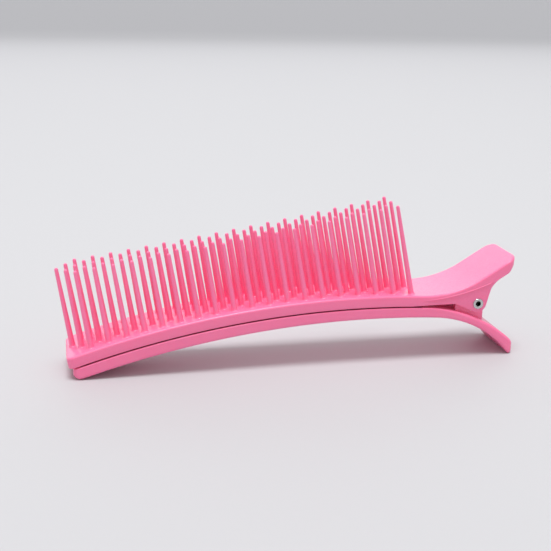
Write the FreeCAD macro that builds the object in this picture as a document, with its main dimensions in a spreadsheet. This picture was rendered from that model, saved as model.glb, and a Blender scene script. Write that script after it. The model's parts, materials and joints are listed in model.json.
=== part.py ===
import FreeCAD, Part
import Sketcher
import math
import os

# A hair sectioning clip. A lower arm and an upper arm turn on one tubular
# rivet, and a torsion spring round the rivet keeps the jaws shut. The upper
# arm carries a comb of long parallel pins, moulded with it.
#
# Axes: +X from the nose to the finger tabs, +Y across, +Z up. The origin is on
# the ground under the middle of the clip, which stands on its nose and its tail.

doc = FreeCAD.newDocument("SectioningClip")
V = FreeCAD.Vector

# ---------------------------------------------------------------- sizes (mm)
SIZES = [
    ("hinge_x", 58.6, "rivet axis from the origin, along X"),
    ("hinge_height", 17.5, "rivet axis above the ground"),
    ("arm_width", 20.0, "both arms, across"),
    ("jaw_length", 127.4, "nose of the upper arm to the rivet axis"),
    ("nose_step", 1.2, "how far the lower nose stands back"),
    ("seam_crest_x", 35.7, "crest of the line where the jaws meet, ahead of the rivet"),
    ("seam_crest_height", 17.95, "crest of that line above the ground"),
    ("seam_nose_height", 3.336, "nose end of that line above the ground"),
    ("seam_gap", 0.3, "open line between the closed jaws"),
    ("upper_depth", 3.5, "upper arm from the seam to its top"),
    ("belly_crest_x", 33.8, "crest of the lower arm's underside, ahead of the rivet"),
    ("belly_crest_height", 14.15, "crest of the underside above the ground"),
    ("wall", 1.8, "side walls and end walls of the arms"),
    ("plate", 1.8, "top of the upper arm, over its channel"),
    ("floor_plate", 1.6, "floor of the lower arm, under its channel"),
    ("tab_start", 18.2, "start of the upward curve, ahead of the rivet"),
    ("tab_radius", 33.0, "upward curve of the thumb tab"),
    ("tab_angle", 31.5, "slope of the straight end of the tab, degrees"),
    ("tab_reach", 12.0, "end of the tab behind the rivet axis"),
    ("tab_depth", 3.4, "thickness of the tab at its edge"),
    ("tab_lip", 1.0, "square upper edge of the tab's end"),
    ("tab_undercut", 2.7, "how far the lower edge of the tab's end stands back"),
    ("tab_corner", 3.8, "corners of the tab in plan"),
    ("rear_angle", 14.0, "lean of the rear edge of the cheeks, degrees"),
    ("rear_round", 7.0, "hollow between the cheeks and the tab"),
    ("shoulder_ahead", 7.4, "front shoulder of the cheeks, ahead of the rivet"),
    ("shoulder_height", 0.2, "front shoulder above the rivet axis"),
    ("throat_ahead", 22.2, "where the jaw line starts to open"),
    ("cheek_radius", 2.9, "outer cheeks round the rivet"),
    ("cheek_inset", 0.25, "step from the rim of the arm to its cheeks"),
    ("rim_angle", 4.0, "slope of that step ahead of the tab, degrees"),
    ("inner_cheek", 1.6, "thickness of the lower arm's cheeks"),
    ("inner_cheek_radius", 2.6, "lower arm's cheeks round the rivet"),
    ("inner_cheek_ahead", 6.9, "front foot of the lower arm's cheeks"),
    ("cheek_gap", 0.2, "gap between outer and inner cheeks"),
    ("tail_start", 13.7, "start of the tail's underside, ahead of the rivet"),
    ("tail_radius", 35.0, "underside of the tail"),
    ("tail_top_start", 17.2, "start of the tail's top, ahead of the rivet"),
    ("tail_top_radius", 49.0, "top of the tail"),
    ("tail_reach", 13.2, "end of the tail behind the rivet axis"),
    ("foot", 1.93, "flat foot under the lower nose"),
    ("nose_corner", 2.2, "corners of both noses in plan"),
    ("top_edge", 0.6, "rounding of the upper arm's top edges"),
    ("rivet_radius", 1.2, "shank of the rivet"),
    ("rivet_bore", 0.8, "radius of the hole through the rivet"),
    ("flange_radius", 1.7, "rolled ends of the rivet"),
    ("flange_height", 0.45, "how far the rolled ends stand out"),
    ("running_clearance", 0.05, "rivet in the lower arm's cheeks, radial"),
    ("wire_radius", 0.45, "spring wire"),
    ("coil_clearance", 0.4, "coil round the rivet, radial"),
    ("coil_turns", 8.0, "whole turns of the coil"),
    ("coil_pitch", 1.0, "one turn of the coil along the rivet"),
    ("leg_length", 6.0, "straight legs of the spring"),
    ("leg_clearance", 0.05, "legs to the faces that they press on"),
    ("rail_width", 3.0, "toothed rail in the lower jaw"),
    ("rail_pitch", 3.0, "one tooth of the rail"),
    ("rail_tooth", 0.9, "height of the teeth"),
    ("rail_below_seam", 0.4, "tooth tips below the jaw line"),
    ("pin_lean", 11.07, "draw of the comb from upright, towards the nose, degrees"),
    ("pin_lean_nose", 9.0, "lean of the first pin"),
    ("pin_lean_last", 11.8, "lean of the last column"),
    ("pin_waist", 0.65, "share of a pin's length where the columns are evenly spaced"),
    ("pin_columns", 39.0, "columns of pins"),
    ("row_pitch", 3.42, "rows of pins"),
    ("first_pin", 2.77, "first pin from the nose, square to the draw"),
    ("last_pin", 20.6, "last column ahead of the rivet, square to the draw"),
    ("pin_root_radius", 0.88, "pin where it leaves the arm"),
    ("pin_tip_radius", 0.56, "pin at its rounded tip"),
    ("pin_length_nose", 24.9, "first pin, above the arm"),
    ("pin_length_last", 28.8, "last column, above the arm"),
    ("pin_tip_sag", 0.7, "dip of the line of tips, in the middle"),
]
sheet = doc.addObject("Spreadsheet::Sheet", "Sizes")
for number, (alias, value, meaning) in enumerate(SIZES, start=1):
    sheet.set("A%d" % number, meaning)
    sheet.set("B%d" % number, str(value))
    sheet.setAlias("B%d" % number, alias)
doc.recompute()


def size(alias):
    """The number in the sheet under this alias."""
    return float(sheet.get(alias))


# ------------------------------------------------------- plain 2-D geometry
def direction(degrees):
    """Unit vector at an angle from +X towards +Z."""
    return (math.cos(math.radians(degrees)), math.sin(math.radians(degrees)))


def along(point, way, distance):
    """The point at a distance from another, along a unit vector."""
    return (point[0] + way[0] * distance, point[1] + way[1] * distance)


def on_circle(centre, radius, x):
    """The upper point of a circle at x."""
    return (x, centre[1] + math.sqrt(radius ** 2 - (x - centre[0]) ** 2))


def crossing(point, way, other, other_way):
    """Where two straight lines cross."""
    turn = way[0] * other_way[1] - way[1] * other_way[0]
    gap = (other[0] - point[0], other[1] - point[1])
    return along(point, way, (gap[0] * other_way[1] - gap[1] * other_way[0]) / turn)


def line_meets_circle(point, way, centre, radius):
    """The first crossing of a line with a circle, in the line's own direction."""
    gap = (point[0] - centre[0], point[1] - centre[1])
    half = gap[0] * way[0] + gap[1] * way[1]
    rest = gap[0] ** 2 + gap[1] ** 2 - radius ** 2
    roots = (-half - math.sqrt(half ** 2 - rest), -half + math.sqrt(half ** 2 - rest))
    return along(point, way, min(roots, key=abs))


def straight(start, end):
    """A straight edge of an outline."""
    return ("line", start, end)


def curved(start, end, centre):
    """A circular edge of an outline, the short way round its centre."""
    radius = math.hypot(start[0] - centre[0], start[1] - centre[1])
    middle = ((start[0] + end[0]) / 2 - centre[0], (start[1] + end[1]) / 2 - centre[1])
    reach = math.hypot(*middle)
    through = (centre[0] + middle[0] / reach * radius, centre[1] + middle[1] / reach * radius)
    return ("arc", start, through, end)


def rounded(start, corner, end, radius):
    """Two straight edges with a round corner between them."""
    legs = [math.hypot(p[0] - corner[0], p[1] - corner[1]) for p in (start, end)]
    ways = [((p[0] - corner[0]) / leg, (p[1] - corner[1]) / leg)
            for p, leg in zip((start, end), legs)]
    half = math.acos(ways[0][0] * ways[1][0] + ways[0][1] * ways[1][1]) / 2
    first, last = (along(corner, way, radius / math.tan(half)) for way in ways)
    bisector = (ways[0][0] + ways[1][0], ways[0][1] + ways[1][1])
    length = math.hypot(*bisector)
    centre = along(corner, (bisector[0] / length, bisector[1] / length), radius / math.sin(half))
    return [straight(start, first), curved(first, last, centre), straight(last, end)]


# ---------------------------------------------- curves that both arms share
def arch_radius(half_span, rise):
    """Radius of an arch that falls by its rise over half its span."""
    return (half_span ** 2 + rise ** 2) / (2 * rise)


hinge = (size("hinge_x"), size("hinge_height"))
half_width = size("arm_width") / 2
nose_x = hinge[0] - size("jaw_length")
lower_nose_x = nose_x + size("nose_step")
seam_crest_x = hinge[0] - size("seam_crest_x")
seam_radius = arch_radius(seam_crest_x - nose_x,
                          size("seam_crest_height") - size("seam_nose_height"))
seam_centre = (seam_crest_x, size("seam_crest_height") - seam_radius)
belly_crest_x = hinge[0] - size("belly_crest_x")
belly_radius = arch_radius(belly_crest_x - lower_nose_x - size("foot"), size("belly_crest_height"))
belly_centre = (belly_crest_x, size("belly_crest_height") - belly_radius)
top_radius = seam_radius + size("upper_depth")
draw = direction(90 + size("pin_lean"))
across_draw = (draw[1], -draw[0])


def top_curve(depth):
    """The upper arm's top, pushed down by a depth: its arch, curve and straight end.

    Returns the circle of the arch, the point where the tab's curve starts, the
    centre of that curve, and the point where the tab runs straight.
    """
    arch = top_radius - depth
    start = on_circle(seam_centre, arch, hinge[0] - size("tab_start"))
    outward = ((start[0] - seam_centre[0]) / arch, (start[1] - seam_centre[1]) / arch)
    curve = size("tab_radius") + depth
    centre = along(seam_centre, outward, arch + curve)
    angle = math.radians(size("tab_angle"))
    end = (centre[0] + curve * math.sin(angle), centre[1] - curve * math.cos(angle))
    return arch, start, centre, end


def tab_point(depth, back):
    """A point at a depth under the tab's top, a distance short of its end."""
    bottom = top_curve(0)[3]
    run = direction(size("tab_angle"))
    corner = along(bottom, run, (hinge[0] + size("tab_reach") - bottom[0]) / run[0])
    return along(along(corner, run, -back), (run[1], -run[0]), depth)


# -------------------------------------------------------- FreeCAD shorthand
def new_body(label):
    """An empty PartDesign body."""
    body = doc.addObject("PartDesign::Body", label)
    body.Label = label
    return body


def plane(body, role):
    """One of a body's own origin planes."""
    return next(f for f in body.Origin.OriginFeatures if f.Role == role)


def draw_sketch(body, name, edges, role="XZ_Plane", lift=0.0):
    """A sketch of straight and circular edges on one of the body's planes."""
    sketch = body.newObject("Sketcher::SketchObject", name)
    sketch.AttachmentSupport = [(plane(body, role), "")]
    sketch.MapMode = "FlatFace"
    sketch.AttachmentOffset = FreeCAD.Placement(V(0, 0, lift), FreeCAD.Rotation())
    for edge in edges:
        points = [V(p[0], p[1], 0) for p in edge[1:]]
        sketch.addGeometry(Part.LineSegment(*points) if edge[0] == "line" else Part.Arc(*points))
    return sketch


def draw_circle(body, name, radius):
    """A circle round the rivet axis, its radius bound to the sheet."""
    sketch = body.newObject("Sketcher::SketchObject", name)
    sketch.AttachmentSupport = [(plane(body, "XZ_Plane"), "")]
    sketch.MapMode = "FlatFace"
    sketch.addGeometry(Part.Circle(V(hinge[0], hinge[1], 0), V(0, 0, 1), 1.0))
    constraints = [("Radius", (0, 1.0), radius),
                   ("DistanceX", (0, 3, hinge[0]), "Sizes.hinge_x"),
                   ("DistanceY", (0, 3, hinge[1]), "Sizes.hinge_height")]
    for kind, values, expression in constraints:
        index = sketch.addConstraint(Sketcher.Constraint(kind, *values))
        sketch.setExpression("Constraints[%d]" % index, expression)
    return sketch


def symmetric(body, kind, name, sketch, length):
    """A Pad or Pocket equally to both sides of the middle plane."""
    feature = body.newObject("PartDesign::" + kind, name)
    feature.Profile = sketch
    feature.SideType = "Symmetric"
    feature.setExpression("Length", length)
    doc.recompute()
    return feature


def mirror(body, name, feature):
    """The same feature on the other side of the middle plane."""
    both = body.newObject("PartDesign::Mirrored", name)
    both.Originals = [feature]
    both.MirrorPlane = (plane(body, "XZ_Plane"), [""])
    body.Tip = both
    doc.recompute()


def round_edges(body, name, base, chosen, radius):
    """A Fillet on the edges of the base feature that a test chooses."""
    names = ["Edge%d" % n for n, edge in enumerate(base.Shape.Edges, start=1) if chosen(edge)]
    fillet = body.newObject("PartDesign::Fillet", name)
    fillet.Base = (base, names)
    fillet.setExpression("Radius", radius)
    doc.recompute()
    return fillet


def samples(edge):
    """Five points along an edge."""
    first, last = edge.ParameterRange
    return [edge.valueAt(first + (last - first) * n / 4) for n in range(5)]


def on_side(edge):
    """True for an edge that lies in one of the two side faces."""
    return all(abs(abs(p.y) - half_width) < 1e-4 for p in samples(edge))


def joins(edge, start, end):
    """True for a side edge between two points of the outline."""
    ends = [(v.Point.x, v.Point.z) for v in edge.Vertexes]
    wanted = [start, end]
    return on_side(edge) and len(ends) == 2 and all(
        min(math.hypot(e[0] - w[0], e[1] - w[1]) for e in ends) < 1e-3 for w in wanted)


# ------------------------------------------------------------------ upper arm
def build_upper_arm():
    """Channel-section arm with the thumb tab and two outer cheeks."""
    arch, tab_start, tab_centre, tab_run = top_curve(0)
    throat = on_circle(seam_centre, seam_radius, hinge[0] - size("throat_ahead"))
    nose_foot = on_circle(seam_centre, seam_radius, nose_x)
    nose_top = line_meets_circle(nose_foot, draw, seam_centre, arch)
    tab_top, tab_bottom = tab_point(0, 0), tab_point(size("tab_depth"), 0)
    tab_way = direction(size("tab_angle"))
    shoulder = (hinge[0] - size("shoulder_ahead"), hinge[1] + size("shoulder_height"))

    # the cheek: straight from the shoulder to its boss, round the boss, and up
    boss = size("cheek_radius")
    gap = (hinge[0] - shoulder[0], hinge[1] - shoulder[1])
    tilt = math.degrees(math.atan2(gap[1], gap[0]) - math.asin(boss / math.hypot(*gap)))
    boss_front = along(hinge, direction(tilt - 90), boss)
    boss_rear = along(hinge, direction(-size("rear_angle")), boss)
    boss_low = along(hinge, direction((tilt - 90 - size("rear_angle")) / 2), boss)
    rear_way = direction(90 - size("rear_angle"))
    inner_corner = crossing(boss_rear, rear_way, tab_bottom, tab_way)

    outline = [straight(nose_foot, nose_top),
               curved(nose_top, tab_start, seam_centre),
               curved(tab_start, tab_run, tab_centre),
               straight(tab_run, tab_top),
               straight(tab_top, tab_bottom)]
    outline += rounded(tab_bottom, inner_corner, boss_rear, size("rear_round"))
    outline += [("arc", boss_rear, boss_low, boss_front),
                straight(boss_front, shoulder),
                straight(shoulder, throat),
                curved(throat, nose_foot, seam_centre)]

    body = new_body("upper_arm")
    block = symmetric(body, "Pad", "ArmBlock", draw_sketch(body, "ArmOutline", outline),
                      "Sizes.arm_width")
    nose = round_edges(body, "NoseCorners", block,
                       lambda e: joins(e, nose_foot, nose_top), "Sizes.nose_corner")
    tab = round_edges(body, "TabCorners", nose,
                      lambda e: joins(e, tab_top, tab_bottom), "Sizes.tab_corner")

    def off_top(p):
        """Distance of a point from the top of the arm."""
        if p.x < tab_start[0]:
            return math.hypot(p.x - seam_centre[0], p.z - seam_centre[1]) - arch
        if p.x < tab_run[0]:
            return math.hypot(p.x - tab_centre[0], p.z - tab_centre[1]) - size("tab_radius")
        return (p.z - tab_run[1]) * tab_way[0] - (p.x - tab_run[0]) * tab_way[1]

    def is_top(edge):
        """True for the edges round the top of the arm, not for the joints across it."""
        points = samples(edge)
        first, last = min(p.x for p in points), max(p.x for p in points)
        inside = first > nose_top[0] + size("wall") and last < tab_top[0] - size("wall")
        crosswise = last - first < 1e-3
        return all(abs(off_top(p)) < 1e-3 for p in points) and not (inside and crosswise)

    round_edges(body, "TopEdges", tab, is_top, "Sizes.top_edge")

    # the channel under the plate, open below and behind, from nose wall to tab rim
    under, start, centre, run = top_curve(size("plate"))
    wall_x = nose_x + size("wall")
    front = on_circle(seam_centre, under, wall_x)
    rear = tab_point(size("plate"), size("wall") + size("tab_undercut"))
    rim = tab_point(2 * size("tab_depth"), size("wall") + size("tab_undercut"))
    below = -size("plate")
    channel = [straight((wall_x, below), front),
               curved(front, start, seam_centre),
               curved(start, run, centre),
               straight(run, rear),
               straight(rear, rim),
               straight(rim, (rim[0], below)),
               straight((rim[0], below), (wall_x, below))]
    symmetric(body, "Pocket", "Channel", draw_sketch(body, "ChannelOutline", channel),
              "Sizes.arm_width - 2 * Sizes.wall")

    # the end of the tab slopes back under its square upper edge
    lip = tab_point(size("tab_lip"), 0)
    low_edge = tab_point(size("tab_depth"), size("tab_undercut"))
    past = (2 * low_edge[0] - lip[0], 2 * low_edge[1] - lip[1])
    outside = tab_point(size("tab_depth"), -size("wall"))
    wedge = [straight(lip, past), straight(past, outside), straight(outside, lip)]
    symmetric(body, "Pocket", "TabUndercut", draw_sketch(body, "TabUndercutOutline", wedge),
              "Sizes.arm_width")

    # the cheeks stand back a little from the rim of the arm
    rim_front = on_circle(seam_centre, arch - size("upper_depth") / 2, hinge[0] - size("tab_start"))
    rim_rear = along(inner_corner, tab_way, size("rear_round"))
    rim_bend = crossing(rim_front, direction(size("rim_angle")), rim_rear, tab_way)
    low = hinge[1] - 2 * size("cheek_radius")
    inset = [straight(rim_front, rim_bend),
             straight(rim_bend, rim_rear),
             straight(rim_rear, (rim_rear[0], low)),
             straight((rim_rear[0], low), (rim_front[0], low)),
             straight((rim_front[0], low), rim_front)]
    step = body.newObject("PartDesign::Pocket", "CheekStep")
    step.Profile = draw_sketch(body, "CheekStepOutline", inset, lift=half_width)
    step.setExpression("Length", "Sizes.cheek_inset")
    doc.recompute()
    mirror(body, "CheekSteps", step)
    hole = draw_circle(body, "RivetHoleCircle", "Sizes.rivet_radius")
    symmetric(body, "Pocket", "RivetHole", hole, "Sizes.arm_width")
    return body


# ------------------------------------------------------------------ lower arm
def build_lower_arm():
    """Channel-section arm with the tail, two inner cheeks and a toothed rail."""
    seam = seam_radius - size("seam_gap")
    nose_top = on_circle(seam_centre, seam, lower_nose_x)
    tail_top = on_circle(seam_centre, seam, hinge[0] - size("tail_top_start"))
    inward = ((seam_centre[0] - tail_top[0]) / seam, (seam_centre[1] - tail_top[1]) / seam)
    top_centre = along(tail_top, inward, size("tail_top_radius"))
    tail_x = hinge[0] + size("tail_reach")
    end_top = on_circle(top_centre, size("tail_top_radius"), tail_x)
    under = on_circle(belly_centre, belly_radius, hinge[0] - size("tail_start"))
    down = ((belly_centre[0] - under[0]) / belly_radius, (belly_centre[1] - under[1]) / belly_radius)
    under_centre = along(under, down, size("tail_radius"))
    tail_foot = (under_centre[0]
                 + math.sqrt(size("tail_radius") ** 2 - under_centre[1] ** 2), 0.0)
    nose_foot = (lower_nose_x + size("foot"), 0.0)
    nose_low = (lower_nose_x, 0.0)

    outline = [curved(nose_top, tail_top, seam_centre),
               curved(tail_top, end_top, top_centre),
               straight(end_top, (tail_x, 0.0)),
               straight((tail_x, 0.0), tail_foot),
               curved(tail_foot, under, under_centre),
               curved(under, nose_foot, belly_centre),
               straight(nose_foot, nose_low),
               straight(nose_low, nose_top)]

    body = new_body("lower_arm")
    block = symmetric(body, "Pad", "ArmBlock", draw_sketch(body, "ArmOutline", outline),
                      "Sizes.arm_width")
    nose = round_edges(body, "NoseCorners", block,
                       lambda e: joins(e, nose_top, nose_low), "Sizes.nose_corner")
    round_edges(body, "TailCorners", nose,
                lambda e: joins(e, end_top, (tail_x, 0.0)), "Sizes.nose_corner")

    # the channel in the jaw, open above, from the nose wall to the hinge
    bed = belly_radius + size("floor_plate")
    front_x, rear_x = lower_nose_x + size("wall"), hinge[0] - size("tab_start")
    front, rear = on_circle(belly_centre, bed, front_x), on_circle(belly_centre, bed, rear_x)
    above = hinge[1] + size("upper_depth")
    channel = [curved(front, rear, belly_centre),
               straight(rear, (rear_x, above)),
               straight((rear_x, above), (front_x, above)),
               straight((front_x, above), front)]
    symmetric(body, "Pocket", "Channel", draw_sketch(body, "ChannelOutline", channel),
              "Sizes.arm_width - 2 * Sizes.wall")

    # the toothed rail along the middle of the channel
    tip = seam - size("rail_below_seam")
    count = int((rear_x - front_x) / size("rail_pitch"))
    pitch = (rear_x - front_x) / count
    teeth = []
    for n in range(2 * count + 1):
        reach = tip if n % 2 else tip - size("rail_tooth")
        teeth.append(on_circle(seam_centre, reach, front_x + n * pitch / 2))
    root = belly_radius + size("floor_plate") / 2
    root_front = on_circle(belly_centre, root, front_x)
    root_rear = on_circle(belly_centre, root, rear_x)
    rail = [straight(a, b) for a, b in zip(teeth, teeth[1:])]
    rail += [straight(teeth[-1], root_rear), curved(root_rear, root_front, belly_centre),
             straight(root_front, teeth[0])]
    symmetric(body, "Pad", "ToothedRail", draw_sketch(body, "RailOutline", rail),
              "Sizes.rail_width")

    # the inner cheeks: a boss round the rivet on a web that stands on the arm
    boss = size("inner_cheek_radius")
    front_low = (hinge[0] - size("inner_cheek_ahead"), hinge[1] - size("seam_gap"))
    web_front = on_circle(top_centre, size("tail_top_radius") - size("wall"), front_low[0])
    gap = (hinge[0] - front_low[0], hinge[1] - front_low[1])
    slope = math.degrees(math.atan2(gap[1], gap[0]) + math.asin(boss / math.hypot(*gap)))
    boss_front = along(hinge, direction(slope + 90), boss)
    boss_rear = (hinge[0] + boss, hinge[1])
    boss_top = along(hinge, direction((slope + 90) / 2), boss)
    web_rear = on_circle(top_centre, size("tail_top_radius") - size("wall"), boss_rear[0])
    web = [straight(web_front, front_low), straight(front_low, boss_front),
           ("arc", boss_front, boss_top, boss_rear), straight(boss_rear, web_rear),
           straight(web_rear, web_front)]
    outside = half_width - size("wall") - size("cheek_gap")
    cheek = body.newObject("PartDesign::Pad", "InnerCheek")
    cheek.Profile = draw_sketch(body, "CheekOutline", web, lift=outside)
    cheek.Reversed = True
    cheek.setExpression("Length", "Sizes.inner_cheek")
    doc.recompute()
    mirror(body, "InnerCheeks", cheek)
    hole = draw_circle(body, "RivetHoleCircle", "Sizes.rivet_radius + Sizes.running_clearance")
    symmetric(body, "Pocket", "RivetHole", hole, "Sizes.arm_width")
    return body, top_centre


# ----------------------------------------------------------------- the rivet
def build_rivet():
    """Tube with both ends rolled outwards, turned about its own axis."""
    body = new_body("hinge_rivet")
    seat = half_width - size("cheek_inset")
    end = seat + size("flange_height")
    shank, bore, flange = size("rivet_radius"), size("rivet_bore"), size("flange_radius")
    lip = size("flange_height") / 2
    profile = [straight((bore + lip, -end), (flange - lip, -end)),
               ("arc", (flange - lip, -end), (flange, -end + lip), (flange - lip, -seat)),
               straight((flange - lip, -seat), (shank, -seat)),
               straight((shank, -seat), (shank, seat)),
               straight((shank, seat), (flange - lip, seat)),
               ("arc", (flange - lip, seat), (flange, end - lip), (flange - lip, end)),
               straight((flange - lip, end), (bore + lip, end)),
               curved((bore + lip, end), (bore, end - lip), (bore + lip, end - lip)),
               straight((bore, end - lip), (bore, -end + lip)),
               curved((bore, -end + lip), (bore + lip, -end), (bore + lip, -end + lip))]
    sketch = draw_sketch(body, "TubeOutline", profile, "XY_Plane")
    turned = body.newObject("PartDesign::Revolution", "Tube")
    turned.Profile = sketch
    turned.ReferenceAxis = (sketch, ["V_Axis"])
    turned.Angle = 360.0
    body.setExpression("Placement.Base.x", "Sizes.hinge_x")
    body.setExpression("Placement.Base.z", "Sizes.hinge_height")
    doc.recompute()
    return body


# ---------------------------------------------------------------- the spring
def build_spring(top_centre):
    """Torsion spring: a coil round the rivet and two straight legs to the rear."""
    wire, pitch = size("wire_radius"), size("coil_pitch")
    coil = size("rivet_radius") + size("coil_clearance") + wire
    leg = size("leg_length")
    reach = math.hypot(coil, leg)
    away = wire + size("leg_clearance")

    # upper leg: its end lies just under the plate of the thumb tab
    run = direction(size("tab_angle"))
    under = top_curve(size("plate"))[3]
    height = (under[1] - hinge[1]) * run[0] - (under[0] - hinge[0]) * run[1]
    upper_way = size("tab_angle") + math.degrees(
        math.atan2(leg, coil) - math.acos((height - away) / reach))
    # lower leg: its end lies just over the top of the tail
    gap = (top_centre[0] - hinge[0], top_centre[1] - hinge[1])
    distance = math.hypot(*gap)
    stand = size("tail_top_radius") + away
    turn = math.acos((distance ** 2 + reach ** 2 - stand ** 2) / (2 * distance * reach))
    lower_way = math.degrees(math.atan2(gap[1], gap[0]) + turn - math.atan2(leg, coil)) + 90

    # the coil runs from the upper leg's root round to the lower leg's root
    first = upper_way + 90
    last = lower_way - 90 + 360 * size("coil_turns")
    width = pitch * (last - first) / 360
    helix = Part.makeHelix(pitch, width, coil)
    helix.rotate(V(0, 0, 0), V(0, 0, 1), first)
    helix.rotate(V(0, 0, 0), V(1, 0, 0), 90)
    helix.translate(V(hinge[0], width / 2, hinge[1]))
    turn_edge = helix.Edges[0]
    root, tail = turn_edge.FirstParameter, turn_edge.LastParameter
    upper_end = turn_edge.valueAt(root) - turn_edge.tangentAt(root) * leg
    lower_end = turn_edge.valueAt(tail) + turn_edge.tangentAt(tail) * leg
    path = Part.Wire([Part.makeLine(upper_end, turn_edge.valueAt(root)), turn_edge,
                      Part.makeLine(turn_edge.valueAt(tail), lower_end)])
    section = Part.Wire([Part.makeCircle(wire, upper_end, turn_edge.tangentAt(root))])
    spring = doc.addObject("Part::Feature", "torsion_spring")
    spring.Label = "torsion_spring"
    spring.Shape = path.makePipeShell([section], True, True)
    return spring


# ------------------------------------------------------------- the comb's pins
ROWS = (1, 2, 3, 4, 5)
MIDDLE_ROW = 3


def comb_columns():
    """Foot, way and length of the pins in every column, from the nose to the hinge.

    The columns stand at even steps square to the draw. Each pin then turns
    about its waist by the fan of the comb, which grows towards the hinge.
    """
    nose_foot = on_circle(seam_centre, seam_radius, nose_x)
    first = nose_foot[0] * across_draw[0] + nose_foot[1] * across_draw[1] + size("first_pin")
    last = hinge[0] * across_draw[0] + hinge[1] * across_draw[1] - size("last_pin")
    count = int(size("pin_columns"))
    above = seam_centre[0] * draw[0] + seam_centre[1] * draw[1] + 2 * top_radius
    feet = []
    for column in range(count):
        place = first + (last - first) * column / (count - 1)
        start = along(along((0.0, 0.0), across_draw, place), draw, above)
        feet.append(line_meets_circle(start, (-draw[0], -draw[1]), seam_centre, top_radius))
    levels = [foot[0] * draw[0] + foot[1] * draw[1] for foot in feet]
    ends = (levels[0] + size("pin_length_nose"), levels[-1] + size("pin_length_last"))
    columns = []
    for column, (foot, level) in enumerate(zip(feet, levels)):
        share = column / (count - 1)
        sag = size("pin_tip_sag") * 4 * share * (1 - share)
        length = ends[0] + (ends[1] - ends[0]) * share - sag - level
        lean = size("pin_lean_nose") + (size("pin_lean_last") - size("pin_lean_nose")) * share ** 2
        way = direction(90 + lean)
        waist = along(foot, draw, size("pin_waist") * length)
        tip = along(waist, way, (1 - size("pin_waist")) * length)
        foot = line_meets_circle(waist, (-way[0], -way[1]), seam_centre, top_radius)
        columns.append((foot, lean, math.hypot(tip[0] - foot[0], tip[1] - foot[1])))
    return columns


def rows_of(column):
    """Rows that have a pin in this column: one at the nose, then two and three by turns."""
    if column == 0:
        return (MIDDLE_ROW,)
    return ROWS[1::2] if column % 2 else ROWS[0::2]


def pin_solid(foot, lean, length, y):
    """One tapered pin with a round tip, starting a root radius below its foot."""
    root, tip = size("pin_root_radius"), size("pin_tip_radius")
    corners = [V(0, 0, -root), V(root, 0, -root), V(root, 0, 0), V(tip, 0, length - tip)]
    edges = [Part.makeLine(a, b) for a, b in zip(corners, corners[1:])]
    slant = tip * math.sqrt(0.5)
    edges.append(Part.Arc(corners[-1], V(slant, 0, length - tip + slant), V(0, 0, length)).toShape())
    edges.append(Part.makeLine(V(0, 0, length), corners[0]))
    pin = Part.Face(Part.Wire(edges)).revolve(V(0, 0, 0), V(0, 0, 1), 360)
    pin.Placement = FreeCAD.Placement(V(foot[0], y, foot[1]), FreeCAD.Rotation(V(0, 1, 0), -lean))
    return pin


def build_pins():
    """The comb, one object for each row of pins, every foot trimmed to the arm's top."""
    arm = Part.makeCylinder(top_radius, size("arm_width"),
                            V(seam_centre[0], -half_width, seam_centre[1]), V(0, 1, 0))
    columns = comb_columns()
    rows = []
    for row in ROWS:
        y = (row - MIDDLE_ROW) * size("row_pitch")
        pins = [pin_solid(foot, lean, length, y).cut(arm)
                for column, (foot, lean, length) in enumerate(columns) if row in rows_of(column)]
        feature = doc.addObject("Part::Feature", "pin_row_%d" % row)
        feature.Label = "pin_row_%d" % row
        feature.Shape = Part.makeCompound([solid for pin in pins for solid in pin.Solids])
        rows.append(feature)
    return rows


# ------------------------------------------------------------ build and write
upper_arm = build_upper_arm()
lower_arm, tail_centre = build_lower_arm()
parts = [upper_arm, lower_arm, build_rivet(), build_spring(tail_centre)] + build_pins()
doc.recompute()
for item in doc.Objects:
    if "Invalid" in item.State or "Error" in item.State:
        raise RuntimeError("%s failed: %s" % (item.Label, item.State))
for item in parts:
    if item.Shape.isNull() or not item.Shape.isValid():
        raise RuntimeError(item.Label + " is not a valid shape")
os.makedirs("parts", exist_ok=True)
for item in parts:
    box = item.Shape.optimalBoundingBox()
    print("%-15s %2d solids %8.1f mm3  X %.2f..%.2f  Y %.2f..%.2f  Z %.2f..%.2f" % (
        item.Label, len(item.Shape.Solids), item.Shape.Volume,
        box.XMin, box.XMax, box.YMin, box.YMax, box.ZMin, box.ZMax))
    item.Shape.exportStep("parts/%s.step" % item.Label)
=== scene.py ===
# A hair sectioning clip: two arms on a tubular rivet, held shut by a torsion
# spring, with a comb of long pins on the upper arm. Everything is in metres in
# the CAD model's frame: +X from the nose to the finger tabs, +Y across, +Z up.
import json
import math
from functools import cache

import bmesh
import bpy
import numpy as np
from bpy.props import FloatProperty, IntProperty, PointerProperty, StringProperty
from mathutils import Matrix, Vector


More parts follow.
